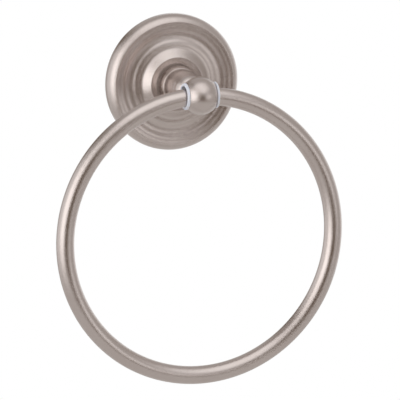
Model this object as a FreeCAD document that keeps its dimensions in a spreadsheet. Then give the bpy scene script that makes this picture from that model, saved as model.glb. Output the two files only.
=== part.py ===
import FreeCAD, Part
import math
import os
import re

import Sketcher
from FreeCAD import Placement, Rotation, Vector

# Towel ring. A turned wall plate hides a bracket on the wall, a post with a ball stands out of the
# plate, and a split tube ring swings in two nylon bushes in the ball.
# The wall is the XZ plane, the room lies towards -Y and +Z is up. The origin is the centre of the wall
# face. A turned piece is drawn about its own Z axis, whose zero is the wall and which runs into the room.

# Driving sizes in millimetres. A height is a distance from the wall.
SIZES = [
    ("plate_radius", "36.5", "wall plate, outer radius"),
    ("rim_land", "2.2", "wall plate, straight band at the wall"),
    ("rim_width", "3.8", "wall plate, radial width of the rounded rim"),
    ("edge_height", "7.5", "wall plate, height of the sharp front edge"),
    ("step_width", "2.0", "moulding, part of its width that the step inside the edge takes"),
    ("step_drop", "0.4", "moulding, fall from the edge to the foot of the step"),
    ("cove_fall_width", "5.1", "moulding, part that the slope down into the cove takes"),
    ("cove_depth", "1.15", "moulding, fall from the step to the cove"),
    ("cove_rise_width", "5.5", "moulding, part that the slope up out of the cove takes"),
    ("cove_rise", "1.2", "moulding, rise from the cove to the shoulder"),
    ("flank_foot_width", "2.5", "moulding, part that the rounded foot of the boss's flank takes"),
    ("flank_foot_rise", "0.9", "moulding, rise from the shoulder to the top of the rounded foot"),
    ("flank_width", "3.2", "moulding, part that the straight flank of the boss takes"),
    ("crest_rise", "2.6", "moulding, rise of the straight flank to the crest of the boss"),
    ("dish_width", "4.7", "moulding, part that the dish round the bead takes"),
    ("dish_drop", "1.3", "moulding, fall from the crest to the foot of the bead"),
    ("bead_foot_radius", "9.7", "wall plate, radius at the foot of the bead"),
    ("bead_top_radius", "9.6", "wall plate, radius at the top of the bead"),
    ("bead_bulge", "0.75", "wall plate, how far the bead swells past its two ends"),
    ("seat_height", "16.7", "top of the bead, where the post sits"),
    ("shell_wall", "2.2", "wall plate, least thickness of the shell"),
    ("rim_wall", "2.5", "wall plate, thickness of the rim at the wall"),
    ("web_height", "6.6", "wall plate, height of the face behind the boss"),
    ("web_wall", "1.6", "wall plate, thickness of the floor under the post's spigot"),
    ("post_root_radius", "9.3", "post, radius where it sits on the bead"),
    ("post_shoulder_radius", "8.3", "post, radius where the barrel turns in"),
    ("post_shoulder_height", "30.0", "post, height where the barrel turns in"),
    ("barrel_radius", "40.0", "post, radius of the barrel's long curve"),
    ("neck_radius", "6.3", "post, radius of the neck"),
    ("neck_height", "34.4", "post, height where the turned-in end meets the neck"),
    ("neck_hollow", "0.8", "post, depth of the hollow neck"),
    ("ball_reach", "47.2", "distance from the wall to the centre of the ball"),
    ("ball_radius", "10.15", "ball radius"),
    ("spigot_radius", "5.0", "post, radius of the spigot in the plate's socket"),
    ("peg_radius", "0.9", "post, radius of the peg that stops it turning"),
    ("peg_length", "2.5", "post, length of the peg"),
    ("peg_offset", "7.0", "post, distance of the peg from the axis"),
    ("bush_face", "7.7", "ball, distance of the flat under each bush flange from its centre"),
    ("bush_bore", "5.6", "bush, inside radius"),
    ("bush_wall", "0.6", "bush, wall thickness of the barrel"),
    ("bush_flange_radius", "6.95", "bush, flange radius"),
    ("bush_flange", "1.2", "bush, flange thickness"),
    ("bush_gap", "3.6", "clear distance between the two bushes inside the ball"),
    ("ring_radius", "74.6", "ring, radius of the tube's centre line"),
    ("tube_radius", "4.76", "ring, outer radius of the tube"),
    ("tube_wall", "1.0", "ring, wall thickness of the tube"),
    ("ring_gap", "3.0", "ring, distance between its two ends inside the ball"),
    ("screw_radius", "2.5", "post screw, thread radius"),
    ("screw_end_height", "21.0", "post screw, height of its tip"),
    ("head_radius", "4.6", "post screw, head radius"),
    ("head_thickness", "2.6", "post screw, head thickness"),
    ("head_round", "1.2", "post screw, rounding of the head"),
    ("recess_radius", "1.5", "post screw, radius of the hexagon recess to its corners"),
    ("recess_depth", "1.5", "post screw, depth of the recess"),
    ("screw_tip", "0.6", "post screw, chamfer at its tip"),
    ("tap_allowance", "1.0", "post, depth of the tapped hole past the screw's tip"),
    ("washer_thickness", "1.0", "lock washer, thickness"),
    ("washer_radius", "4.4", "lock washer, outer radius"),
    ("washer_slit", "0.8", "lock washer, width of the slit"),
    ("strip_thickness", "1.5", "bracket, sheet thickness"),
    ("strip_width", "18.0", "bracket, width"),
    ("hook_root", "8.0", "bracket, distance of each hook's root from the inside of the wall plate's rim"),
    ("wall_hole_radius", "2.4", "bracket, radius of each wall screw hole"),
    ("wall_hole_spacing", "28.0", "bracket, distance between the wall screw holes"),
    ("lug_width", "12.0", "wall plate, width of the hook lug and of the set screw boss"),
    ("set_screw_radius", "1.5", "set screw, thread radius"),
    ("set_screw_height", "1.9", "set screw, height of its axis"),
    ("set_screw_sink", "0.8", "set screw, how deep its end lies inside the rim"),
    ("set_screw_cone", "1.0", "set screw, length of its pointed end"),
    ("set_screw_recess", "0.85", "set screw, radius of the hexagon recess to its corners"),
    ("set_screw_recess_depth", "1.4", "set screw, depth of the recess"),
    ("boss_depth", "3.0", "wall plate, depth of the set screw boss inside the rim"),
    ("fit_gap", "0.05", "clearance round a screw, a spigot, a peg and a bush"),
    ("hook_gap", "0.15", "clearance between the bracket's hooks and what they hold"),
    ("edge_break", "0.3", "small rounding of a turned edge"),
]

NAMES = {name for name, value, note in SIZES}
WORD = re.compile(r"[a-z_]+")

# Places that several pieces share, as formulas in the sheet's names.
# The moulding fills the space between the sharp edge and the bead, so its parts share that width.
EDGE_RADIUS = "(plate_radius - rim_width)"
MOULDING_PARTS = (
    "(step_width + cove_fall_width + cove_rise_width + flank_foot_width + flank_width + dish_width)"
)
MOULDING_SHARE = f"(({EDGE_RADIUS} - bead_foot_radius) / {MOULDING_PARTS})"
STEP_WIDTH = f"(step_width * {MOULDING_SHARE})"
COVE_FALL_WIDTH = f"(cove_fall_width * {MOULDING_SHARE})"
COVE_RISE_WIDTH = f"(cove_rise_width * {MOULDING_SHARE})"
FLANK_FOOT_WIDTH = f"(flank_foot_width * {MOULDING_SHARE})"
STEP_RADIUS = f"({EDGE_RADIUS} - {STEP_WIDTH})"
STEP_HEIGHT = "(edge_height - step_drop)"
COVE_RADIUS = f"({STEP_RADIUS} - {COVE_FALL_WIDTH})"
COVE_HEIGHT = f"({STEP_HEIGHT} - cove_depth)"
SHOULDER_RADIUS = f"({COVE_RADIUS} - {COVE_RISE_WIDTH})"
SHOULDER_HEIGHT = f"({COVE_HEIGHT} + cove_rise)"
FLANK_FOOT_RADIUS = f"({SHOULDER_RADIUS} - {FLANK_FOOT_WIDTH})"
FLANK_FOOT_HEIGHT = f"({SHOULDER_HEIGHT} + flank_foot_rise)"
CREST_RADIUS = f"(bead_foot_radius + dish_width * {MOULDING_SHARE})"
CREST_HEIGHT = f"({FLANK_FOOT_HEIGHT} + crest_rise)"
CEILING_HEIGHT = f"({COVE_HEIGHT} - shell_wall)"
CAVITY_RADIUS = "(plate_radius - rim_wall)"
SOCKET_FLOOR = "(web_height + web_wall)"
NECK_TOP = "(ball_reach - sqrt(ball_radius^2 - neck_radius^2))"
BALL_BORE = "(bush_bore + bush_wall + fit_gap)"
BUSH_END = "(bush_face + bush_flange)"
RING_INSIDE = "(ring_radius - tube_radius)"
RING_SAG = f"({RING_INSIDE} - sqrt({RING_INSIDE}^2 - {BUSH_END}^2))"
RING_DROP = f"(bush_bore - fit_gap - tube_radius - {RING_SAG})"
BEAD_FOOT = f"({CREST_HEIGHT} - dish_drop)"
HOOK_ROOT = f"({CAVITY_RADIUS} - hook_root)"
HOOK_HEIGHT = f"({CEILING_HEIGHT} - hook_gap)"
HEAD_TOP = "(web_height - washer_thickness)"
HEAD_LOW = f"({HEAD_TOP} - head_thickness)"
SET_SCREW_APEX = f"({HOOK_ROOT} + set_screw_height + hook_gap)"
SET_SCREW_TIP = f"({SET_SCREW_APEX} + set_screw_radius - set_screw_cone)"
SET_SCREW_LENGTH = f"(plate_radius - set_screw_sink - {SET_SCREW_TIP})"

document = FreeCAD.newDocument("TowelRing")
sheet = document.addObject("Spreadsheet::Sheet", "Sizes")


def fill_sheet():
    """Write each driving size into a cell with its name as the alias."""
    for row, (name, value, note) in enumerate(SIZES, 1):
        sheet.set(f"A{row}", note)
        sheet.set(f"B{row}", value)
        sheet.setAlias(f"B{row}", name)
    document.recompute()


def spelled(formula):
    """The formula with each sheet name in the form that an expression needs."""
    return WORD.sub(lambda word: f"Sizes.{word.group()}" if word.group() in NAMES else word.group(), formula)


def amount(formula):
    """The formula's value now."""
    return float(sheet.evalExpression(spelled(formula)))


def bind(item, prop, formula):
    """Tie a property to a formula."""
    item.setExpression(prop, spelled(formula))


def new_body(label):
    body = document.addObject("PartDesign::Body", label)
    body.Label = label
    return body


def origin_plane(body, role):
    return next(item for item in body.Origin.OriginFeatures if item.Role == role)


def new_sketch(body, name, role, offset=None):
    """An empty sketch on one of the body's own planes, lifted off it by a formula where one is given."""
    sketch = body.newObject("Sketcher::SketchObject", name)
    sketch.AttachmentSupport = [(origin_plane(body, role), "")]
    sketch.MapMode = "FlatFace"
    if offset:
        bind(sketch, "AttachmentOffset.Base.z", offset)
    return sketch


def pin_point(sketch, edge, end, place):
    """Hold one end of an edge, or a circle's centre, at a place given as two formulas."""
    for kind, axis, formula in (("DistanceX", -2, place[0]), ("DistanceY", -1, place[1])):
        if formula == "0":
            sketch.addConstraint(Sketcher.Constraint("PointOnObject", edge, end, axis))
        else:
            index = sketch.addConstraint(Sketcher.Constraint(kind, -1, 1, edge, end, amount(formula)))
            bind(sketch, f"Constraints[{index}]", formula)


def add_circle(sketch, place, radius):
    centre = Vector(amount(place[0]), amount(place[1]), 0)
    edge = sketch.addGeometry(Part.Circle(centre, Vector(0, 0, 1), amount(radius)), False)
    pin_point(sketch, edge, 3, place)
    index = sketch.addConstraint(Sketcher.Constraint("Radius", edge, amount(radius)))
    bind(sketch, f"Constraints[{index}]", radius)


def arc_between(start, end, radius, side):
    """The short arc from start to end. Side is 1 where its centre lies to the left, -1 to the right."""
    along = end - start
    half = along.Length / 2
    normal = Vector(-along.y, along.x, 0).normalize()
    centre = (start + end) / 2 + normal * side * math.sqrt(max(radius * radius - half * half, 0))
    first, last = (start, end) if side > 0 else (end, start)
    angles = [math.atan2(point.y - centre.y, point.x - centre.x) for point in (first, last)]
    return Part.ArcOfCircle(Part.Circle(centre, Vector(0, 0, 1), radius), *angles)


def add_outline(sketch, path):
    """A closed outline. A step is (x, y) for a line to that point or (x, y, radius, side) for an arc."""
    points = [Vector(amount(step[0]), amount(step[1]), 0) for step in path]
    edges = []
    for number, step in enumerate(path):
        start = points[number - 1]
        end = points[number]
        if len(step) == 2:
            edge = sketch.addGeometry(Part.LineSegment(start, end), False)
            edges.append((edge, 1, 2))
        else:
            radius, side = step[2:]
            edge = sketch.addGeometry(arc_between(start, end, amount(radius), side), False)
            edges.append((edge, 1, 2) if side > 0 else (edge, 2, 1))
    for number, (edge, start, end) in enumerate(edges):
        before = edges[number - 1]
        sketch.addConstraint(Sketcher.Constraint("Coincident", before[0], before[2], edge, start))
        pin_point(sketch, edge, end, path[number][:2])
        if len(path[number]) == 4:
            radius = path[number][2]
            index = sketch.addConstraint(Sketcher.Constraint("Radius", edge, amount(radius)))
            bind(sketch, f"Constraints[{index}]", radius)


def revolve(body, name, path):
    """Turn a closed outline of (radius, height) points about the body's Z axis."""
    sketch = new_sketch(body, f"{name}_outline", "XZ_Plane")
    add_outline(sketch, path)
    turned = body.newObject("PartDesign::Revolution", name)
    turned.Profile = sketch
    turned.ReferenceAxis = (sketch, ["V_Axis"])
    turned.Angle = 360
    document.recompute()
    return turned


def pad(body, name, sketch, length, midplane=False, reverse=False):
    feature = body.newObject("PartDesign::Pad", name)
    feature.Profile = sketch
    feature.Midplane = midplane
    feature.Reversed = reverse
    bind(feature, "Length", length)
    document.recompute()
    return feature


def pocket(body, name, sketch, length, midplane=False, reverse=False):
    """Cut a sketch into the body, and stop if nothing was cut."""
    before = body.Shape.Volume
    feature = body.newObject("PartDesign::Pocket", name)
    feature.Profile = sketch
    feature.Midplane = midplane
    feature.Reversed = reverse
    bind(feature, "Length", length)
    document.recompute()
    if feature.Shape.Volume >= before:
        raise ValueError(f"{name} cuts nothing")
    return feature


def round_edges(body, name, radius, wanted):
    """Round the edges of the body's last feature for which wanted(edge) is true."""
    base = body.Tip
    edges = [f"Edge{number}" for number, edge in enumerate(base.Shape.Edges, 1) if wanted(edge)]
    feature = body.newObject("PartDesign::Fillet", name)
    feature.Base = (base, edges)
    bind(feature, "Radius", radius)
    document.recompute()
    return feature


def is_circle(radius, height):
    """A test for a full circle about the Z axis with this radius, at this height."""
    wanted_radius = amount(radius)
    wanted_height = amount(height)

    def test(edge):
        if edge.Degenerated or not isinstance(edge.Curve, Part.Circle):
            return False
        circle = edge.Curve
        return abs(circle.Radius - wanted_radius) < 1e-4 and abs(circle.Center.z - wanted_height) < 1e-4

    return test


def place(body, rotation, height=None, drop=None):
    """Set a body into the row frame, some way out from the wall and below the plate's centre."""
    body.Placement = Placement(Vector(), rotation)
    if height:
        bind(body, "Placement.Base.y", f"-{height}")
    if drop:
        bind(body, "Placement.Base.z", f"-{drop}")


# A body's Z axis turned to point out of the wall, with its Y axis up.
OUT_OF_WALL = Rotation(Vector(1, 0, 0), 90)
# The same with its Y axis down, for the ring, whose drawn side is its lowest point.
OUT_OF_WALL_HANGING = Rotation(Vector(1, 0, 0), -90)


def ogee_radius(width, rise):
    """Radius of the two equal arcs of an S-curve that starts and ends level."""
    return f"(({width})^2 + ({rise})^2) / (4 * ({rise}))"


def quarter_radius(width, rise):
    """Radius of an arc that leaves one end along the width."""
    return f"(({width})^2 + ({rise})^2) / (2 * ({rise}))"


def chord_radius(chord, bulge):
    """Radius of an arc of this chord and height."""
    return f"((({chord})^2) / 4 + ({bulge})^2) / (2 * ({bulge}))"


def ogee_steps(radius, height, width, rise, side):
    """Two arcs that lead on from a level point through width towards the axis and rise."""
    arc = ogee_radius(width, f"abs({rise})")
    middle = (f"{radius} - {width} / 2", f"{height} + ({rise}) / 2", arc, side)
    last = (f"{radius} - {width}", f"{height} + ({rise})", arc, -side)
    return [middle, last]


def make_wall_plate():
    """Rose with a hollow back, the bead, the post's socket, the hook lug and the set screw boss."""
    body = new_body("wall_plate")
    bead_chord = f"sqrt((bead_foot_radius - bead_top_radius)^2 + (seat_height - {BEAD_FOOT})^2)"
    front = [
        ("plate_radius", "0"),
        ("plate_radius", "rim_land"),
        (EDGE_RADIUS, "edge_height", quarter_radius("edge_height - rim_land", "rim_width"), 1),
        (STEP_RADIUS, STEP_HEIGHT, quarter_radius(STEP_WIDTH, "step_drop"), -1),
        *ogee_steps(STEP_RADIUS, STEP_HEIGHT, COVE_FALL_WIDTH, "-cove_depth", 1),
        *ogee_steps(COVE_RADIUS, COVE_HEIGHT, COVE_RISE_WIDTH, "cove_rise", -1),
        (FLANK_FOOT_RADIUS, FLANK_FOOT_HEIGHT, quarter_radius(FLANK_FOOT_WIDTH, "flank_foot_rise"), -1),
        (CREST_RADIUS, CREST_HEIGHT),
        ("bead_foot_radius", BEAD_FOOT),
        ("bead_top_radius", "seat_height", chord_radius(bead_chord, "bead_bulge"), 1),
    ]
    socket = [
        ("spigot_radius + fit_gap", "seat_height"),
        ("spigot_radius + fit_gap", SOCKET_FLOOR),
        ("screw_radius + fit_gap", SOCKET_FLOOR),
        ("screw_radius + fit_gap", "web_height"),
    ]
    cavity_corner = quarter_radius(f"{CAVITY_RADIUS} - {STEP_RADIUS}", f"{CEILING_HEIGHT} - rim_land")
    back = [
        (CREST_RADIUS, "web_height"),
        (SHOULDER_RADIUS, f"{SHOULDER_HEIGHT} - shell_wall"),
        (COVE_RADIUS, CEILING_HEIGHT),
        (STEP_RADIUS, CEILING_HEIGHT),
        (CAVITY_RADIUS, "rim_land", cavity_corner, -1),
        (CAVITY_RADIUS, "0"),
    ]
    revolve(body, "turned_shell", front + socket + back)
    turned_edges = [
        is_circle(EDGE_RADIUS, "edge_height"),
        is_circle(CREST_RADIUS, CREST_HEIGHT),
        is_circle("bead_top_radius", "seat_height"),
    ]
    round_edges(body, "turned_edges", "edge_break", lambda edge: any(test(edge) for test in turned_edges))
    add_hook_lug(body)
    add_set_screw_boss(body)
    peg_hole = new_sketch(body, "peg_hole_outline", "XY_Plane", "seat_height")
    add_circle(peg_hole, ("peg_offset", "0"), "peg_radius + fit_gap")
    pocket(body, "peg_hole", peg_hole, "peg_length + fit_gap")
    place(body, OUT_OF_WALL)
    return body


def add_hook_lug(body):
    """A wedge inside the top of the rim that drops behind the bracket's upper hook."""
    root = f"({HOOK_ROOT} + hook_gap * sqrt(2))"
    inside_rim = f"({CAVITY_RADIUS} + rim_wall / 2)"
    inside_shell = f"({CEILING_HEIGHT} + shell_wall / 3)"
    outline = new_sketch(body, "hook_lug_outline", "YZ_Plane")
    add_outline(outline, [
        (f"{root} + hook_gap", "hook_gap"),
        (inside_rim, "hook_gap"),
        (inside_rim, inside_shell),
        (f"{root} + {inside_shell}", inside_shell),
    ])
    pad(body, "hook_lug", outline, "lug_width", midplane=True)


def add_set_screw_boss(body):
    """A block inside the bottom of the rim with the set screw's threaded hole."""
    inner_end = f"({CAVITY_RADIUS} - boss_depth)"
    inside_rim = f"({CAVITY_RADIUS} + rim_wall / 2)"
    inside_shell = f"({CEILING_HEIGHT} + shell_wall / 3)"
    outline = new_sketch(body, "set_screw_boss_outline", "YZ_Plane")
    add_outline(outline, [
        (f"-{inside_rim}", "hook_gap"),
        (f"-{inner_end}", "hook_gap"),
        (f"-{inner_end}", inside_shell),
        (f"-{inside_rim}", inside_shell),
    ])
    pad(body, "set_screw_boss", outline, "lug_width", midplane=True)
    hole = new_sketch(body, "set_screw_hole_outline", "XZ_Plane", f"{inner_end} - 1")
    add_circle(hole, ("0", "set_screw_height"), "set_screw_radius + fit_gap")
    pocket(body, "set_screw_hole", hole, "plate_radius", reverse=True)


def make_post():
    """Turned barrel, hollow neck and ball, with the spigot, the peg, the tapped hole and the cross bore."""
    body = new_body("post")
    bore = "(screw_radius + fit_gap)"
    bore_end = "(screw_end_height + tap_allowance)"
    spigot_end = f"({SOCKET_FLOOR} + fit_gap)"
    turn_in = quarter_radius("neck_height - post_shoulder_height", "post_shoulder_radius - neck_radius")
    revolve(body, "turned_post", [
        (bore, spigot_end),
        ("spigot_radius", spigot_end),
        ("spigot_radius", "seat_height"),
        ("post_root_radius", "seat_height"),
        ("post_shoulder_radius", "post_shoulder_height", "barrel_radius", 1),
        ("neck_radius", "neck_height", turn_in, 1),
        ("neck_radius", NECK_TOP, chord_radius(f"({NECK_TOP} - neck_height)", "neck_hollow"), -1),
        ("0", "ball_reach + ball_radius", "ball_radius", 1),
        ("0", f"{bore_end} + {bore} / 2"),
        (bore, bore_end),
    ])
    round_edges(body, "root_edge", "edge_break", is_circle("post_root_radius", "seat_height"))
    peg = new_sketch(body, "peg_outline", "XY_Plane", "seat_height")
    add_circle(peg, ("peg_offset", "0"), "peg_radius")
    pad(body, "peg", peg, "peg_length", reverse=True)
    cross_bore = new_sketch(body, "cross_bore_outline", "YZ_Plane")
    add_circle(cross_bore, ("0", "ball_reach"), BALL_BORE)
    pocket(body, "cross_bore", cross_bore, "3 * ball_radius", midplane=True)
    for side, offset, reverse in (("right", "bush_face", True), ("left", "-bush_face", False)):
        flat = new_sketch(body, f"{side}_flat_outline", "YZ_Plane", offset)
        add_circle(flat, ("0", "ball_reach"), "ball_radius")
        pocket(body, f"{side}_flat", flat, "ball_radius", reverse=reverse)
    place(body, OUT_OF_WALL)
    return body


def add_hexagon(sketch, radius):
    """A regular hexagon about the sketch's origin, of this radius to its corners."""
    add_outline(sketch, [
        (f"{radius} * cos({15 + 60 * corner} deg)", f"{radius} * sin({15 + 60 * corner} deg)")
        for corner in range(6)
    ])


def make_post_screw():
    body = new_body("post_screw")
    revolve(body, "turned_screw", [
        ("0", HEAD_LOW),
        ("head_radius - head_round", HEAD_LOW),
        ("head_radius", f"{HEAD_LOW} + head_round", "head_round", 1),
        ("head_radius", HEAD_TOP),
        ("screw_radius", HEAD_TOP),
        ("screw_radius", "screw_end_height - screw_tip"),
        ("screw_radius - screw_tip", "screw_end_height"),
        ("0", "screw_end_height"),
    ])
    recess = new_sketch(body, "recess_outline", "XY_Plane", HEAD_LOW)
    add_hexagon(recess, "recess_radius")
    pocket(body, "recess", recess, "recess_depth", reverse=True)
    place(body, OUT_OF_WALL)
    return body


def make_lock_washer():
    body = new_body("lock_washer")
    revolve(body, "turned_ring", [
        ("screw_radius + fit_gap", HEAD_TOP),
        ("washer_radius", HEAD_TOP),
        ("washer_radius", "web_height"),
        ("screw_radius + fit_gap", "web_height"),
    ])
    slit = new_sketch(body, "slit_outline", "XY_Plane", "web_height")
    add_outline(slit, [
        ("-washer_slit / 2", "0"),
        ("washer_slit / 2", "0"),
        ("washer_slit / 2", "2 * washer_radius"),
        ("-washer_slit / 2", "2 * washer_radius"),
    ])
    pocket(body, "slit", slit, "2 * washer_thickness", midplane=True)
    place(body, OUT_OF_WALL)
    return body


def make_mounting_bracket():
    """Sheet strip against the wall whose two ends are bent out at 45 degrees as hooks."""
    body = new_body("mounting_bracket")
    upper = [
        (HOOK_ROOT, "0"),
        (f"{HOOK_ROOT} + {HOOK_HEIGHT}", HOOK_HEIGHT),
        (f"{HOOK_ROOT} + {HOOK_HEIGHT} - strip_thickness * sqrt(2)", HOOK_HEIGHT),
        (f"{HOOK_ROOT} - strip_thickness * (sqrt(2) - 1)", "strip_thickness"),
    ]
    lower = [(f"-({up})", out) for up, out in reversed(upper)]
    section = new_sketch(body, "strip_section", "YZ_Plane")
    add_outline(section, upper + lower)
    pad(body, "strip", section, "strip_width", midplane=True)
    holes = new_sketch(body, "wall_hole_outline", "XY_Plane")
    add_circle(holes, ("0", "wall_hole_spacing / 2"), "wall_hole_radius")
    add_circle(holes, ("0", "-wall_hole_spacing / 2"), "wall_hole_radius")
    pocket(body, "wall_holes", holes, "3 * strip_thickness", midplane=True)
    place(body, OUT_OF_WALL)
    return body


def make_set_screw():
    """Headless screw with a pointed end, drawn from its point downwards."""
    body = new_body("set_screw")
    revolve(body, "turned_screw", [
        ("0", "0"),
        ("set_screw_radius - set_screw_cone", "0"),
        ("set_screw_radius", "set_screw_cone"),
        ("set_screw_radius", SET_SCREW_LENGTH),
        ("0", SET_SCREW_LENGTH),
    ])
    recess = new_sketch(body, "recess_outline", "XY_Plane", SET_SCREW_LENGTH)
    add_hexagon(recess, "set_screw_recess")
    pocket(body, "recess", recess, "set_screw_recess_depth")
    place(body, Rotation(Vector(1, 0, 0), 180), height="set_screw_height", drop=SET_SCREW_TIP)
    return body


def make_ring():
    """Tube bent to a circle, drawn as a ring section turned the long way round from end to end."""
    body = new_body("ring")
    section = new_sketch(body, "tube_section", "YZ_Plane")
    add_circle(section, ("ring_radius", "0"), "tube_radius")
    add_circle(section, ("ring_radius", "0"), "tube_radius - tube_wall")
    tube = body.newObject("PartDesign::Revolution", "bent_tube")
    tube.Profile = section
    tube.ReferenceAxis = (section, ["V_Axis"])
    tube.Midplane = True
    bind(tube, "Angle", "360 deg - 2 * asin(ring_gap / (2 * ring_radius))")
    place(body, OUT_OF_WALL_HANGING, height="ball_reach", drop=f"(ring_radius + {RING_DROP})")
    return body


def make_bush(label, turn):
    """Flanged bush, turned to stand in one side of the ball."""
    body = new_body(label)
    revolve(body, "turned_bush", [
        ("bush_bore", "bush_gap / 2"),
        ("bush_bore + bush_wall", "bush_gap / 2"),
        ("bush_bore + bush_wall", "bush_face"),
        ("bush_flange_radius", "bush_face"),
        ("bush_flange_radius", BUSH_END),
        ("bush_bore", BUSH_END),
    ])
    round_edges(body, "flange_edge", "edge_break", is_circle("bush_flange_radius", BUSH_END))
    place(body, Rotation(Vector(0, 1, 0), turn), height="ball_reach")
    return body


def check_model(bodies):
    """Stop if any object failed or any piece isn't one valid solid."""
    failed = [item.Label for item in document.Objects if {"Invalid", "Error"} & set(item.State)]
    if failed:
        raise ValueError(f"not built: {failed}")
    for body in bodies:
        shape = body.Shape
        if shape.isNull() or not shape.isValid() or len(shape.Solids) != 1:
            raise ValueError(f"{body.Label} is not one valid solid")


def main():
    fill_sheet()
    bodies = [
        make_wall_plate(),
        make_post(),
        make_post_screw(),
        make_lock_washer(),
        make_mounting_bracket(),
        make_set_screw(),
        make_ring(),
        make_bush("bush_left", -90),
        make_bush("bush_right", 90),
    ]
    document.recompute()
    check_model(bodies)
    os.makedirs("parts", exist_ok=True)
    for body in bodies:
        body.Shape.exportStep(f"parts/{body.Label}.step")
        print(f"{body.Label}: {body.Shape.Volume:.1f} cubic mm")


main()
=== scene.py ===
import math

import bmesh
import bpy
from mathutils import Matrix, Vector


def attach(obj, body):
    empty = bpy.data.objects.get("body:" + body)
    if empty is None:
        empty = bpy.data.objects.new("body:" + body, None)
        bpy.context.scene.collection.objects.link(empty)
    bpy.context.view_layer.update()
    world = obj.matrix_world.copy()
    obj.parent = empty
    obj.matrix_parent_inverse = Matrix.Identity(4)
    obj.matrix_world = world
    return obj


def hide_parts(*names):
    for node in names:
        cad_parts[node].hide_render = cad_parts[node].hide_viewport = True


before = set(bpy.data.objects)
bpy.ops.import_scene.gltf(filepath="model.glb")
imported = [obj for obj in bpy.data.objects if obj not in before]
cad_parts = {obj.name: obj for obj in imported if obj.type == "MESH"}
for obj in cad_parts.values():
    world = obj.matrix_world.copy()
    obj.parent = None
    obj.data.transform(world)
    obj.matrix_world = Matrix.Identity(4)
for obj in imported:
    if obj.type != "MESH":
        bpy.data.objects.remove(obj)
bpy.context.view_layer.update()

# The towel ring in millimetres, as the frame has it. A height is a distance from the wall, and a
# place on a turned piece is (radius, height).
PLATE_RADIUS = 36.5
RIM_LAND = 2.2
FRONT_EDGE = (32.7, 7.5)
CREST = (14.4, 10.65)
BEAD_FOOT = (9.7, 9.35)
BEAD_TOP = 9.6
SEAT_HEIGHT = 16.7
CAVITY_RADIUS = 34.0
CEILING_HEIGHT = 3.75
WEB_HEIGHT = 6.6
SOCKET_RADIUS = 5.05
SOCKET_FLOOR = 8.2
SCREW_HOLE = 2.55
LUG_WIDTH = 12.0
SET_SCREW_HOLE = 1.55
SET_SCREW_HEIGHT = 1.9
PEG_RADIUS = 0.9
PEG_HOLE = 0.95
PEG_LENGTH = 2.5
PEG_OFFSET = 7.0
FIT_GAP = 0.05
SPIGOT_RADIUS = 5.0
POST_ROOT = 9.3
NECK_RADIUS = 6.3
BALL_REACH = 47.2
BALL_RADIUS = 10.15
BALL_BORE = 6.25
BUSH_BORE = 5.6
BUSH_BARREL = 6.2
BUSH_FLANGE = 6.95
BUSH_START = 1.8
BUSH_FACE = 7.7
BUSH_END = 8.9
RING_RADIUS = 74.6
RING_CENTRE = (0.0, -47.2, -74.8206)
TUBE_RADIUS = 4.76
TUBE_BORE = 3.76
RING_GAP = 3.0
EDGE_BREAK = 0.3
BRACKET_EDGE_BREAK = 0.18
# How far the peg runs on inside the barrel, and the cutters' sizes, which reach past what they cut.
PEG_SINK = 0.1
PEG_CUT = 3.0
SET_SCREW_CUT_START = 30.0
SET_SCREW_CUT = 8.0
BORE_CUT = 40.0
FLAT_CUT = 6.0
FLAT_CUT_RADIUS = 12.0

# Outlines for trace(): (radius, height) is a line to that place, and a longer step is an arc to it.
# Some straight runs have a place half way along, which keeps their faces short.
PLATE_OUTLINE = [
    (PLATE_RADIUS, 0), (PLATE_RADIUS, RIM_LAND),
    # The rounded rim and the step inside its sharp edge.
    (*FRONT_EDGE, 5.5961, 1, 20), (30.7, 7.1, 5.2, -1, 6),
    # The cove.
    (28.15, 6.525, 5.9418, 1, 10), (25.6, 5.95, 5.9418, -1, 10),
    (22.85, 6.55, 6.6021, -1, 10), (20.1, 7.15, 6.6021, 1, 10),
    # The rounded foot and the straight flank of the boss.
    (17.6, 8.05, 3.9222, -1, 10), (16.0, 9.35), CREST,
    # The dish and the bead.
    (12.05, 10.0), BEAD_FOOT, (BEAD_TOP, SEAT_HEIGHT, 9.3804, 1, 18),
    # The socket, the screw's hole and the hollow back.
    (SOCKET_RADIUS, SEAT_HEIGHT), (SOCKET_RADIUS, SOCKET_FLOOR),
    (SCREW_HOLE, SOCKET_FLOOR), (SCREW_HOLE, WEB_HEIGHT), (CREST[0], WEB_HEIGHT),
    (20.1, 4.95), (25.6, CEILING_HEIGHT), (30.7, CEILING_HEIGHT),
    (CAVITY_RADIUS, RIM_LAND, 4.2879, -1, 6), (CAVITY_RADIUS, 0),
]
POST_OUTLINE = [
    # The tapped hole and the spigot.
    (0, 23.275), (SCREW_HOLE, 22.0), (SCREW_HOLE, 8.25), (SPIGOT_RADIUS, 8.25),
    (SPIGOT_RADIUS, SEAT_HEIGHT), (POST_ROOT, SEAT_HEIGHT),
    # The barrel, its turned-in end, the hollow neck and the ball.
    (8.3, 30.0, 40.0, 1, 24), (NECK_RADIUS, 34.4, 5.84, 1, 12),
    (NECK_RADIUS, 39.2418, 4.0628, -1, 14),
    (0, BALL_REACH + BALL_RADIUS, BALL_RADIUS, 1, 56),
]
BUSH_OUTLINE = [
    (BUSH_BORE, BUSH_START), (BUSH_BARREL, BUSH_START), (BUSH_BARREL, BUSH_FACE),
    (BUSH_FLANGE, BUSH_FACE), (BUSH_FLANGE, BUSH_END), (BUSH_BORE, BUSH_END),
]
# The sides of the two blocks inside the rim, as (distance up the wall, height).
HOOK_LUG = [(26.3621, 0.15), (35.25, 0.15), (35.25, 4.4833), (30.6954, 4.4833)]
SCREW_BOSS = [(-35.25, 0.15), (-31.0, 0.15), (-31.0, 4.4833), (-35.25, 4.4833)]

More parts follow.
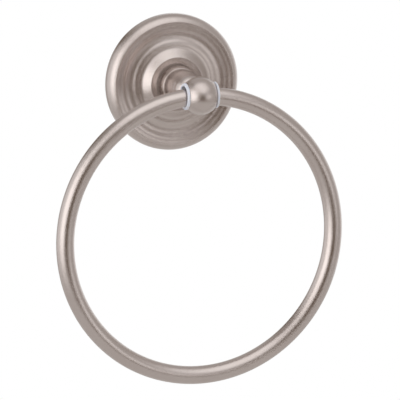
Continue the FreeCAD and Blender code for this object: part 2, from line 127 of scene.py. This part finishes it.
FULL_TURN = 2 * math.pi
QUARTER_TURN = math.radians(90)
TURN_STEPS = 240
BUSH_STEPS = 128
TUBE_STEPS = 56
RIM_STEPS = 4
CREASE = math.radians(26)

# Points closer than this are one: in millimetres in a drawn mesh, in metres in a copied node.
MERGE = 1e-4
NODE_MERGE = 1e-6
ON_RIM = 0.01

MM = 0.001
MILLIMETRES = Matrix.Scale(MM, 4)
OUT_OF_WALL = MILLIMETRES @ Matrix.Rotation(QUARTER_TURN, 4, "X")


# Turned and bent shapes

def trace(mesh, path, closed):
    """Draw an outline with radius as x and height as z. An arc's step goes on with its radius, the
    side of its centre (1 left, -1 right) and its number of steps."""
    tip = first = mesh.verts.new((path[0][0], 0, path[0][1]))
    for step in path[1:]:
        end = Vector((step[0], 0, step[1]))
        if len(step) == 2:
            made = bmesh.ops.extrude_vert_indiv(mesh, verts=[tip])
            tip = made["verts"][0]
            tip.co = end
            continue
        bend, side, steps = step[2:]
        along = end - tip.co
        half = along.length / 2
        left = Vector((-along.z, 0, along.x)).normalized()
        reach = math.sqrt(max(bend * bend - half * half, 0))
        made = bmesh.ops.spin(
            mesh, geom=[tip], cent=(tip.co + end) / 2 + left * side * reach, axis=(0, -side, 0),
            dvec=(0, 0, 0), angle=2 * math.asin(min(half / bend, 1)), steps=steps, use_merge=False,
        )
        tip = next(item for item in made["geom_last"] if isinstance(item, bmesh.types.BMVert))
        tip.co = end
    if closed:
        mesh.edges.new((tip, first))


def turn(mesh, steps=TURN_STEPS):
    """Turn the drawn outline once about the Z axis."""
    bmesh.ops.spin(
        mesh, geom=mesh.verts[:] + mesh.edges[:], cent=(0, 0, 0), axis=(0, 0, 1), dvec=(0, 0, 0),
        angle=FULL_TURN, steps=steps, use_merge=True,
    )
    close_up(mesh)


def close_up(mesh):
    """Merge what meets, and let every face point outwards."""
    bmesh.ops.remove_doubles(mesh, verts=mesh.verts[:], dist=MERGE)
    bmesh.ops.recalc_face_normals(mesh, faces=mesh.faces[:])


def bevel(mesh, edges, offset, segments):
    bmesh.ops.bevel(
        mesh, geom=edges, offset=offset, offset_type="OFFSET", affect="EDGES", segments=segments,
        profile=0.5, material=-1, clamp_overlap=True,
    )


def round_rim(mesh, radius, height):
    """Round the circular edge at this radius and height."""
    def on_rim(vert):
        off_radius = abs(math.hypot(vert.co.x, vert.co.y) - radius)
        return off_radius < ON_RIM and abs(vert.co.z - height) < ON_RIM

    rim = [edge for edge in mesh.edges if on_rim(edge.verts[0]) and on_rim(edge.verts[1])]
    bevel(mesh, rim, EDGE_BREAK * math.tan(rim[0].calc_face_angle() / 2), RIM_STEPS)


def add_prism(mesh, outline, width):
    """A block with this side, (distance up the wall, height), centred across X."""
    corners = [mesh.verts.new((-width / 2, up, height)) for up, height in outline]
    side = mesh.faces.new(corners)
    made = bmesh.ops.extrude_face_region(mesh, geom=[side])
    moved = [item for item in made["geom"] if isinstance(item, bmesh.types.BMVert)]
    bmesh.ops.translate(mesh, verts=moved, vec=(width, 0, 0))


def add_rod(mesh, radius, length, placing, segments=48):
    """A closed cylinder about Z, from zero up, then placed."""
    upright = placing @ Matrix.Translation((0, 0, length / 2))
    bmesh.ops.create_cone(
        mesh, cap_ends=True, segments=segments, radius1=radius, radius2=radius, depth=length,
        matrix=upright,
    )


def make_object(name, mesh, placing=OUT_OF_WALL):
    """Put the drawn mesh in its place in the frame, as an object at the origin."""
    bmesh.ops.transform(mesh, matrix=placing, verts=mesh.verts[:])
    data = bpy.data.meshes.new(name)
    mesh.to_mesh(data)
    mesh.free()
    piece = bpy.data.objects.new(name, data)
    bpy.context.scene.collection.objects.link(piece)
    return piece


def shape_with(piece, operation, tool):
    """Cut a piece with another mesh or join the two, and drop the other."""
    change = piece.modifiers.new("change", "BOOLEAN")
    change.operation = operation
    change.solver = "EXACT"
    change.object = tool
    bpy.context.view_layer.update()
    live = piece.evaluated_get(bpy.context.evaluated_depsgraph_get())
    shaped = bpy.data.meshes.new_from_object(live)
    piece.modifiers.clear()
    old = piece.data
    shaped.name = piece.name
    piece.data = shaped
    bpy.data.meshes.remove(old)
    bpy.data.objects.remove(tool)


def smooth_between_creases(piece):
    """Smooth shading with a hard edge wherever two faces meet at more than the crease angle."""
    mesh = bmesh.new()
    mesh.from_mesh(piece.data)
    for face in mesh.faces:
        face.smooth = True
    for edge in mesh.edges:
        edge.smooth = len(edge.link_faces) == 2 and edge.calc_face_angle() < CREASE
    mesh.to_mesh(piece.data)
    mesh.free()


def hang(piece, body, slot, *nodes):
    """Let a finished piece move with its body, and stand for its nodes."""
    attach(piece, body)
    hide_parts(*nodes)


# Finishes

class Value:
    """A node's output that takes part in Python expressions."""

    def __init__(self, finish, socket):
        self.finish = finish
        self.socket = socket

    def combine(self, operation, first, second=None):
        sockets = {0: first} if second is None else {0: first, 1: second}
        return self.finish.node("ShaderNodeMath", {"operation": operation}, sockets)

    def __add__(self, other):
        return self.combine("ADD", self, other)

    def __radd__(self, other):
        return self.combine("ADD", other, self)

    def __sub__(self, other):
        return self.combine("SUBTRACT", self, other)

    def __rsub__(self, other):
        return self.combine("SUBTRACT", other, self)

    def __mul__(self, other):
        return self.combine("MULTIPLY", self, other)

    def __truediv__(self, other):
        return self.combine("DIVIDE", self, other)

    def __pow__(self, other):
        return self.combine("POWER", self, other)

    def __abs__(self):
        return self.combine("ABSOLUTE", self)

    def largest(self, other):
        return self.combine("MAXIMUM", self, other)

    def root(self):
        return self.combine("SQRT", self)


class Finish:
    """The nodes of one material or of the world."""

    def __init__(self, owner):
        owner.use_nodes = True
        self.owner = owner
        self.tree = owner.node_tree
        self.tree.nodes.clear()

    def node(self, kind, settings, sockets, output=0):
        """Add a node, set it up, then fill its sockets with values or links."""
        made = self.tree.nodes.new(kind)
        for name, setting in settings.items():
            setattr(made, name, setting)
        for key, content in sockets.items():
            if isinstance(content, Value):
                self.tree.links.new(content.socket, made.inputs[key])
            else:
                made.inputs[key].default_value = content
        return Value(self, made.outputs[output]) if made.outputs else None

    def spot(self):
        """The point on the piece, in metres."""
        return self.node("ShaderNodeTexCoord", {}, {}, "Object")

    def place(self):
        """The point's X, Y and Z."""
        split = self.node("ShaderNodeSeparateXYZ", {}, {0: self.spot()})
        return [Value(self, split.socket.node.outputs[axis]) for axis in "XYZ"]

    def vector(self, x, y, z):
        return self.node("ShaderNodeCombineXYZ", {}, {0: x, 1: y, 2: z})

    def step(self, value, low, high, start=0.0, end=1.0):
        """A soft step from start to end as the value passes from low to high."""
        return self.node(
            "ShaderNodeMapRange", {"interpolation_type": "SMOOTHSTEP"},
            {"Value": value, "From Min": low, "From Max": high, "To Min": start, "To Max": end},
        )

    def noise(self, vector, scale, detail=2.0, w=None, rough=0.5):
        """Noise at a point, and with w at a point in four dimensions."""
        sockets = {"Vector": vector, "Scale": scale, "Detail": detail, "Roughness": rough}
        if w is None:
            return self.node("ShaderNodeTexNoise", {"noise_dimensions": "3D"}, sockets)
        return self.node("ShaderNodeTexNoise", {"noise_dimensions": "4D"}, {**sockets, "W": w})

    def mix(self, factor, first, second):
        """A colour between two colours."""
        sockets = {0: factor, 6: first, 7: second}
        return self.node("ShaderNodeMix", {"data_type": "RGBA", "clamp_factor": True}, sockets, 2)

    def bump(self, height, distance, strength=1.0):
        sockets = {"Strength": strength, "Distance": distance, "Height": height}
        return self.node("ShaderNodeBump", {}, sockets)

    def surface(self, sockets):
        shader = self.node("ShaderNodeBsdfPrincipled", {}, sockets)
        self.node("ShaderNodeOutputMaterial", {}, {"Surface": shader})
        return self.owner


NICKEL = (0.59, 0.53, 0.505, 1)
NICKEL_WARM = (0.52, 0.45, 0.42, 1)
CAST_PALE = (0.5, 0.46, 0.44, 1)
CAST_DARK = (0.36, 0.33, 0.31, 1)
NYLON_CLEAR = (0.80, 0.83, 0.90, 1)
NYLON_MILKY = (0.70, 0.73, 0.82, 1)
ZINC_BLUE = (0.56, 0.58, 0.62, 1)
ZINC_YELLOW = (0.60, 0.57, 0.50, 1)
ZINC_ROLLED = (0.42, 0.44, 0.47, 1)
OXIDE_BLACK = (0.035, 0.034, 0.036, 1)
OXIDE_WORN = (0.16, 0.145, 0.13, 1)
FLOOR_PALE = (0.80, 0.79, 0.78, 1)
FLOOR_SPECK = (0.77, 0.76, 0.75, 1)

# Tool marks on the nickel: noise cells to the metre across the marks, and their depths in metres.
MARKS = 10000.0
TURNING_DEPTH = 0.00004
BRUSHING_DEPTH = 0.000035
# Painted shade in the corner at the bead's foot, as darker, warmer and duller nickel: its reach in
# metres and its strength there.
FOOT_SHADE_REACH = 0.0016
FOOT_SHADE_STRENGTH = 0.6


def new_finish(name):
    return Finish(bpy.data.materials.new(name))


def satin_nickel(finish, marks, depth, bands, foot_shade=0.0):
    """Satin nickel plate over tool marks of this depth. The bands are broader marks, which only
    tint and dull it, and the foot shade is painted shade in a corner, darker and duller."""
    clouds = finish.noise(finish.spot(), 55.0, 3.0)
    # The tone and the roughness also take the painted shade at the bead's foot.
    tone = finish.step(clouds * 0.8 + bands * 0.2, 0.35, 0.7, 0.0, 0.35) + foot_shade * 0.7
    return finish.surface({
        "Base Color": finish.mix(tone, NICKEL, NICKEL_WARM),
        "Metallic": 1.0,
        "Roughness": 0.035 + bands * 0.02 + clouds * 0.03 + foot_shade * 0.1,
        "Normal": finish.bump(marks, depth),
    })


def turned_nickel():
    """Marks run round the post's axis, and drift a little on the way."""
    finish = new_finish("turned_satin_nickel")
    x, y, z = finish.place()
    radius = (x * x + z * z).root()
    across = finish.vector(radius, y, x / radius * 0.0004)
    fine = finish.noise(across, MARKS, 1.0, w=z / radius * 2.0)
    bands = finish.noise(across, 1100.0, 2.0, w=z / radius * 0.6)
    # Painted shade: the nickel darkens and dulls in the corner at the bead's foot, and fades out
    # over the reach.
    foot = Vector((BEAD_FOOT[0], -BEAD_FOOT[1])) * MM
    off_foot = ((radius - foot.x) ** 2.0 + (y - foot.y) ** 2.0).root()
    foot_shade = finish.step(off_foot, 0.0, FOOT_SHADE_REACH, FOOT_SHADE_STRENGTH, 0.0)
    return satin_nickel(finish, fine, TURNING_DEPTH, bands, foot_shade)


def brushed_nickel():
    """Marks run round the tube, so they cross it from side to side all the way along."""
    finish = new_finish("brushed_satin_nickel")
    x, y, z = finish.place()
    up = z - RING_CENTRE[2] * MM
    radius = (x * x + up * up).root()
    along = finish.vector(
        x / radius * RING_RADIUS * MM, up / radius * RING_RADIUS * MM, radius * 0.05,
    )
    fine = finish.noise(along, MARKS, 1.0, w=y * 60.0)
    bands = finish.noise(along, 900.0, 2.0, w=y * 30.0)
    return satin_nickel(finish, fine, BRUSHING_DEPTH, bands)


def cast_nickel():
    """The unpolished inside of the casting, with a fine grain."""
    finish = new_finish("cast_inside")
    spot = finish.spot()
    grain = finish.noise(spot, 2600.0, 4.0, rough=0.65)
    stains = finish.noise(spot, 140.0, 3.0)
    return finish.surface({
        "Base Color": finish.mix(stains, CAST_PALE, CAST_DARK),
        "Metallic": 1.0,
        "Roughness": 0.42 + grain * 0.22,
        "Normal": finish.bump(grain, 0.00012, 0.7),
    })


def natural_nylon():
    """Translucent moulded nylon with a faint swirl."""
    finish = new_finish("natural_nylon")
    spot = finish.spot()
    milk = finish.noise(spot, 420.0, 2.0)
    swirl = finish.noise(spot, 1800.0, 3.0)
    return finish.surface({
        "Base Color": finish.mix(milk, NYLON_CLEAR, NYLON_MILKY),
        "Roughness": 0.3 + swirl * 0.16,
        "Subsurface Weight": 0.35,
        "Subsurface Radius": (0.9, 1.0, 1.2),
        "Subsurface Scale": 0.0008,
        "IOR": 1.53,
        "Normal": finish.bump(swirl, 0.00002, 0.4),
    })


def zinc_plate():
    """Clear zinc plate on rolled steel: bluish, with faint yellow patches and rolling marks."""
    finish = new_finish("zinc_plate")
    x, y, z = finish.place()
    spot = finish.spot()
    patches = finish.noise(spot, 90.0, 3.0)
    rolled = finish.noise(finish.vector(x * 14.0, y * 14.0, z * 0.6), 380.0, 3.0)
    spangle = finish.node(
        "ShaderNodeTexVoronoi", {"feature": "F1"}, {"Vector": spot, "Scale": 520.0}, "Distance",
    )
    tint = finish.mix(finish.step(patches, 0.42, 0.66), ZINC_BLUE, ZINC_YELLOW)
    return finish.surface({
        "Base Color": finish.mix(rolled * 0.4, tint, ZINC_ROLLED),
        "Metallic": 1.0,
        "Roughness": 0.26 + rolled * 0.14 + spangle * 0.08,
        "Normal": finish.bump(rolled * 0.7 + spangle * 0.3, 0.00004, 0.6),
    })


def black_oxide():
    """Black oxide with spots where handling wore it brown."""
    finish = new_finish("black_oxide")
    spot = finish.spot()
    grain = finish.noise(spot, 2400.0, 3.0)
    worn = finish.step(finish.noise(spot, 700.0, 2.0), 0.5, 0.72)
    return finish.surface({
        "Base Color": finish.mix(worn, OXIDE_BLACK, OXIDE_WORN),
        "Metallic": 0.9,
        "Roughness": 0.34 + grain * 0.2,
        "Normal": finish.bump(grain, 0.00003, 0.6),
    })


# Pieces

def in_casting(face):
    """Whether a face of the wall plate looks at the wall, or at the axis from inside the rim."""
    middle = Vector((face.center.x, 0, face.center.z))
    looks_at_wall = face.normal.y > 0.2
    looks_at_axis = -face.normal.dot(middle.normalized()) > 0.9
    far_out = middle.length > 30.0 * MM
    return looks_at_wall or (looks_at_axis and far_out)


def make_wall_plate(outside, inside):
    """Turned rose with a hollow back, the bead, the post's socket, the hook lug and the set
    screw's boss."""
    mesh = bmesh.new()
    trace(mesh, PLATE_OUTLINE, closed=True)
    turn(mesh)
    for radius, height in (FRONT_EDGE, CREST, (BEAD_TOP, SEAT_HEIGHT)):
        round_rim(mesh, radius, height)
    plate = make_object("wall_plate_finish", mesh)

    lugs = bmesh.new()
    add_prism(lugs, HOOK_LUG, LUG_WIDTH)
    add_prism(lugs, SCREW_BOSS, LUG_WIDTH)
    close_up(lugs)
    shape_with(plate, "UNION", make_object("lugs", lugs))

    # The set screw's hole runs down through boss and rim, and the peg's hole into the bead.
    holes = bmesh.new()
    screw_start = Matrix.Translation((0, -SET_SCREW_CUT_START, SET_SCREW_HEIGHT))
    downwards = Matrix.Rotation(QUARTER_TURN, 4, "X")
    add_rod(holes, SET_SCREW_HOLE, SET_SCREW_CUT, screw_start @ downwards)
    peg_end = Matrix.Translation((PEG_OFFSET, 0, SEAT_HEIGHT - PEG_LENGTH - FIT_GAP))
    add_rod(holes, PEG_HOLE, PEG_CUT, peg_end)
    shape_with(plate, "DIFFERENCE", make_object("holes", holes))

    plate.data.materials.append(outside)
    plate.data.materials.append(inside)
    for face in plate.data.polygons:
        face.material_index = int(in_casting(face))
    smooth_between_creases(plate)
    hang(plate, "wall_fitting", "plated_metal", "wall_plate")


def make_post(outside):
    """Barrel, hollow neck and ball turned in one, with the tapped hole, the peg and the bore."""
    mesh = bmesh.new()
    trace(mesh, POST_OUTLINE, closed=False)
    turn(mesh)
    round_rim(mesh, POST_ROOT, SEAT_HEIGHT)
    peg_end = Matrix.Translation((PEG_OFFSET, 0, SEAT_HEIGHT - PEG_LENGTH))
    add_rod(mesh, PEG_RADIUS, PEG_LENGTH + PEG_SINK, peg_end, 24)
    post = make_object("post_finish", mesh)

    cross = bmesh.new()
    sideways = Matrix.Translation((0, 0, BALL_REACH)) @ Matrix.Rotation(QUARTER_TURN, 4, "Y")
    bore_end = sideways @ Matrix.Translation((0, 0, -BORE_CUT / 2))
    add_rod(cross, BALL_BORE, BORE_CUT, bore_end, BUSH_STEPS)
    shape_with(post, "DIFFERENCE", make_object("cross_bore", cross))
    for flip in (0, 180):
        flat = bmesh.new()
        facing = Matrix.Rotation(math.radians(flip), 4, "Y")
        side = sideways @ facing @ Matrix.Translation((0, 0, BUSH_FACE))
        add_rod(flat, FLAT_CUT_RADIUS, FLAT_CUT, side, 64)
        shape_with(post, "DIFFERENCE", make_object("flat", flat))

    post.data.materials.clear()
    post.data.materials.append(outside)
    smooth_between_creases(post)
    hang(post, "wall_fitting", "plated_metal", "post")


def make_ring(outside):
    """Tube bent round to a small gap that hides in the ball."""
    mesh = bmesh.new()
    section = Matrix.Translation((0, RING_RADIUS, 0)) @ Matrix.Rotation(QUARTER_TURN, 4, "Y")
    gap = 2 * math.asin(RING_GAP / (2 * RING_RADIUS))
    start = Matrix.Rotation(gap / 2, 4, "Z") @ section
    for radius in (TUBE_RADIUS, TUBE_BORE):
        bmesh.ops.create_circle(
            mesh, cap_ends=False, segments=TUBE_STEPS, radius=radius, matrix=start,
        )
    first = mesh.edges[:]
    made = bmesh.ops.spin(
        mesh, geom=mesh.verts[:] + first, cent=(0, 0, 0), axis=(0, 0, 1), dvec=(0, 0, 0),
        angle=FULL_TURN - gap, steps=TURN_STEPS, use_merge=False,
    )
    last = [item for item in made["geom_last"] if isinstance(item, bmesh.types.BMEdge)]
    for end in (first, last):
        bmesh.ops.bridge_loops(mesh, edges=end)
    close_up(mesh)
    hanging = Matrix.Translation(RING_CENTRE) @ Matrix.Rotation(QUARTER_TURN, 4, "X")
    ring = make_object("ring_finish", mesh, MILLIMETRES @ hanging)
    ring.data.materials.append(outside)
    smooth_between_creases(ring)
    hang(ring, "ring", "plated_metal", "ring")


def make_bush(side, turned, nylon):
    """Flanged bush in one side of the ball."""
    mesh = bmesh.new()
    trace(mesh, BUSH_OUTLINE, closed=True)
    turn(mesh, BUSH_STEPS)
    round_rim(mesh, BUSH_FLANGE, BUSH_END)
    facing = Matrix.Rotation(math.radians(turned), 4, "Y")
    outwards = Matrix.Translation((0, -BALL_REACH, 0)) @ facing
    bush = make_object(f"bush_{side}_finish", mesh, MILLIMETRES @ outwards)
    bush.data.materials.append(nylon)
    smooth_between_creases(bush)
    hang(bush, "wall_fitting", "nylon", f"bush_{side}")


def dress_hardware(node, slot, finish, edge_break=0.0):
    """A node's own shape with smooth turned faces, and with its sharp edges broken if wanted."""
    mesh = bmesh.new()
    mesh.from_mesh(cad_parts[node].data)
    bmesh.ops.remove_doubles(mesh, verts=mesh.verts[:], dist=NODE_MERGE)
    if edge_break:
        bmesh.ops.dissolve_limit(
            mesh, angle_limit=math.radians(1), use_dissolve_boundaries=False,
            verts=mesh.verts[:], edges=mesh.edges[:], delimit=set(),
        )
        sharp = [
            edge for edge in mesh.edges
            if len(edge.link_faces) == 2 and edge.calc_face_angle() > CREASE
        ]
        bevel(mesh, sharp, edge_break * MM, 3)
    piece = make_object(f"{node}_finish", mesh, Matrix.Identity(4))
    piece.data.materials.append(finish)
    smooth_between_creases(piece)
    hang(piece, "wall_fitting", slot, node)


nickel_turned = turned_nickel()
make_wall_plate(nickel_turned, cast_nickel())
make_post(nickel_turned)
make_ring(brushed_nickel())
nylon = natural_nylon()
make_bush("left", -90, nylon)
make_bush("right", 90, nylon)
zinc = zinc_plate()
dress_hardware("mounting_bracket", "zinc_plated_steel", zinc, BRACKET_EDGE_BREAK)
dress_hardware("post_screw", "zinc_plated_steel", zinc)
dress_hardware("lock_washer", "zinc_plated_steel", zinc)
dress_hardware("set_screw", "blackened_steel", black_oxide())


# Studio

def bearing(azimuth, elevation):
    """Unit vector. Azimuth 0 is straight out of the wall and grows to the right, in degrees."""
    a = math.radians(azimuth)
    e = math.radians(elevation)
    return Vector((math.sin(a) * math.cos(e), -math.cos(a) * math.cos(e), math.sin(e)))


FLOOR_HEIGHT = -0.5
FLOOR_RADIUS = 1.5
FLOOR_FADE = (0.6, 0.98)

# The light's level all round, and what is added low down and above the slit.
ROOM_LEVEL = 0.44
LOW_LEVEL = 0.05
LOW_FADE = (-0.75, -0.2)
OVERHEAD_LEVEL = 0.09
# The slit lies across this direction, and the fades beside it run between two distances across it.
SLIT_DIRECTION = (0.673, -0.006, 0.735)
SLIT_OFFSET = 0.09
SLIT_DARKNESS = 0.33
SLIT_FADE = (0.06, 0.13)
OVERHEAD_FADE = (0.02, 0.09)
LEFT_FADE = (-0.09, -0.03)
# Straight edges: the direction that lies beyond, and the softness.
SLIT_SIDE = (bearing(-90, 20), 0.3)
LEFT_PANEL_EDGE = ((-0.875, 0.485, 0), 0.04)
CEILING_PANEL_EDGE = (bearing(-62, 36), 0.1)
# Round patches: azimuth, elevation, radius of the rim, radius of the core, strength.
SIDE_PANEL = (-92, 0, 80, 25, 0.5)
SIDE_WINDOW = (-54, 9, 50, 8, 0.8)
CEILING_PANEL = (-8, 57, 50, 18, 0.72)
RIGHT_PATCH = (33, 2, 18, 6, 0.6)
DARK_FRONT = (-8, 3, 32, 18, 0.08)
DARK_BELOW = (-14, -18, 34, 18, 0.22)
WHITE_GROUND = (136, -16, 42, 31, 1.0)
# How much of the light each channel has, and what its dim parts add: they are a little warmer.
ROOM_TINT = ((1.0, 0.035), (0.99, -0.005), (0.985, -0.035))

CAMERA_LEFT = math.radians(19.382)
CAMERA_ABOVE = math.radians(10.876)
CAMERA_ROLL = math.radians(0.066)
CAMERA_DISTANCE = 4.0
CAMERA_LENS = 684.8
# The middle of the picture: this point, then so far to the right and upwards in the picture.
CAMERA_TARGET = (0, -0.0472, -0.0746125)
TARGET_RIGHT = 0.00005
TARGET_UP = 0.018676


def lay_floor():
    """Pale round floor that fades out towards its rim."""
    mesh = bmesh.new()
    level = Matrix.Translation((0, 0, FLOOR_HEIGHT))
    bmesh.ops.create_circle(mesh, cap_ends=True, segments=96, radius=FLOOR_RADIUS, matrix=level)
    floor = make_object("floor", mesh, Matrix.Identity(4))
    finish = new_finish("pale_floor")
    x, y, z = finish.place()
    fade_start, fade_end = (share * FLOOR_RADIUS for share in FLOOR_FADE)
    fade = finish.step((x * x + y * y).root(), fade_start, fade_end)
    speck = finish.noise(finish.spot(), 40.0, 2.0)
    colour = finish.mix(speck, FLOOR_PALE, FLOOR_SPECK)
    matt = finish.node("ShaderNodeBsdfDiffuse", {}, {"Color": colour})
    clear = finish.node("ShaderNodeBsdfTransparent", {}, {})
    blend = finish.node("ShaderNodeMixShader", {}, {0: fade, 1: matt, 2: clear})
    finish.node("ShaderNodeOutputMaterial", {}, {"Surface": blend})
    floor.data.materials.append(finish.owner)


class Studio(Finish):
    """The world: a white ground behind the object, and soft panels in a dimmer room in front."""

    def __init__(self, world):
        super().__init__(world)
        self.towards = self.node("ShaderNodeTexCoord", {}, {}, "Generated")

    def share(self, direction):
        """How far a ray runs along a direction, from -1 to 1."""
        sockets = {0: self.towards, 1: tuple(direction)}
        return self.node("ShaderNodeVectorMath", {"operation": "DOT_PRODUCT"}, sockets, "Value")

    def glow(self, azimuth, elevation, rim, core, strength):
        """A round patch that fades from its core to its rim."""
        low = math.cos(math.radians(rim))
        high = math.cos(math.radians(core))
        return self.step(self.share(bearing(azimuth, elevation)), low, high, 0.0, strength)

    def beyond(self, direction, soft):
        """Mask of the side of a straight panel edge that a direction points to."""
        return self.step(self.share(direction), -soft, soft)

    def show(self, light, ground):
        """Camera and transmission rays see white, and glossy rays see it where the ground is."""
        ray = self.node("ShaderNodeLightPath", {}, {}).socket.node.outputs
        clear = Value(self, ray["Is Camera Ray"]).largest(Value(self, ray["Is Transmission Ray"]))
        white = clear.largest(Value(self, ray["Is Glossy Ray"]) * ground)
        dim = self.step(light, 0.3, 0.8, 1.0, 0.0)
        colour = self.node("ShaderNodeCombineColor", {}, {
            channel: light * gain + dim * shift for channel, (gain, shift) in enumerate(ROOM_TINT)
        })
        seen = self.mix(white, colour, (1, 1, 1, 1))
        back = self.node("ShaderNodeBackground", {}, {"Color": seen})
        self.node("ShaderNodeOutputWorld", {}, {"Surface": back})


def light_studio():
    """A broad panel at the left and one overhead, with a dark slit between the two, and a small
    patch at the right. The zone in front of the object is darker."""
    world = bpy.data.worlds.new("studio")
    bpy.context.scene.world = world
    studio = Studio(world)
    across_slit = studio.share(SLIT_DIRECTION) - SLIT_OFFSET
    overhead = studio.step(across_slit, *OVERHEAD_FADE)
    left = studio.step(across_slit, *LEFT_FADE, 1.0, 0.0) * studio.beyond(*LEFT_PANEL_EDGE)
    slit = studio.step(abs(across_slit), *SLIT_FADE, 1.0, 0.0) * studio.beyond(*SLIT_SIDE)
    dark_zone = studio.glow(*DARK_FRONT) + studio.glow(*DARK_BELOW)
    light = (
        ROOM_LEVEL
        + studio.step(studio.share((0, 0, 1)), *LOW_FADE, LOW_LEVEL, 0.0)
        + left * (studio.glow(*SIDE_PANEL) + studio.glow(*SIDE_WINDOW))
        + overhead * OVERHEAD_LEVEL
        + overhead * studio.beyond(*CEILING_PANEL_EDGE) * studio.glow(*CEILING_PANEL)
        + studio.glow(*RIGHT_PATCH)
        - dark_zone * (1 - left)
        - slit * SLIT_DARKNESS
    )
    ground = studio.glow(*WHITE_GROUND)
    studio.show(light * (1 - ground) + ground, ground)


def place_camera():
    """A long lens from the left and a little above, as the photograph was taken."""
    ahead = Vector((
        math.sin(CAMERA_LEFT) * math.cos(CAMERA_ABOVE),
        math.cos(CAMERA_LEFT) * math.cos(CAMERA_ABOVE),
        -math.sin(CAMERA_ABOVE),
    ))
    right = Vector((math.cos(CAMERA_LEFT), -math.sin(CAMERA_LEFT), 0))
    up = right.cross(ahead)
    across = right * math.cos(CAMERA_ROLL) + up * math.sin(CAMERA_ROLL)
    upward = up * math.cos(CAMERA_ROLL) - right * math.sin(CAMERA_ROLL)
    target = Vector(CAMERA_TARGET) + across * TARGET_RIGHT + upward * TARGET_UP
    data = bpy.data.cameras.new("camera")
    data.sensor_width = 36.0
    data.lens = CAMERA_LENS
    data.clip_start = 0.1
    data.clip_end = 50.0
    camera = bpy.data.objects.new("camera", data)
    bpy.context.scene.collection.objects.link(camera)
    turned = Matrix((across, upward, -ahead)).transposed().to_4x4()
    camera.matrix_world = Matrix.Translation(target - ahead * CAMERA_DISTANCE) @ turned
    bpy.context.scene.camera = camera


lay_floor()
light_studio()
place_camera()
bpy.context.scene.view_settings.view_transform = "Standard"
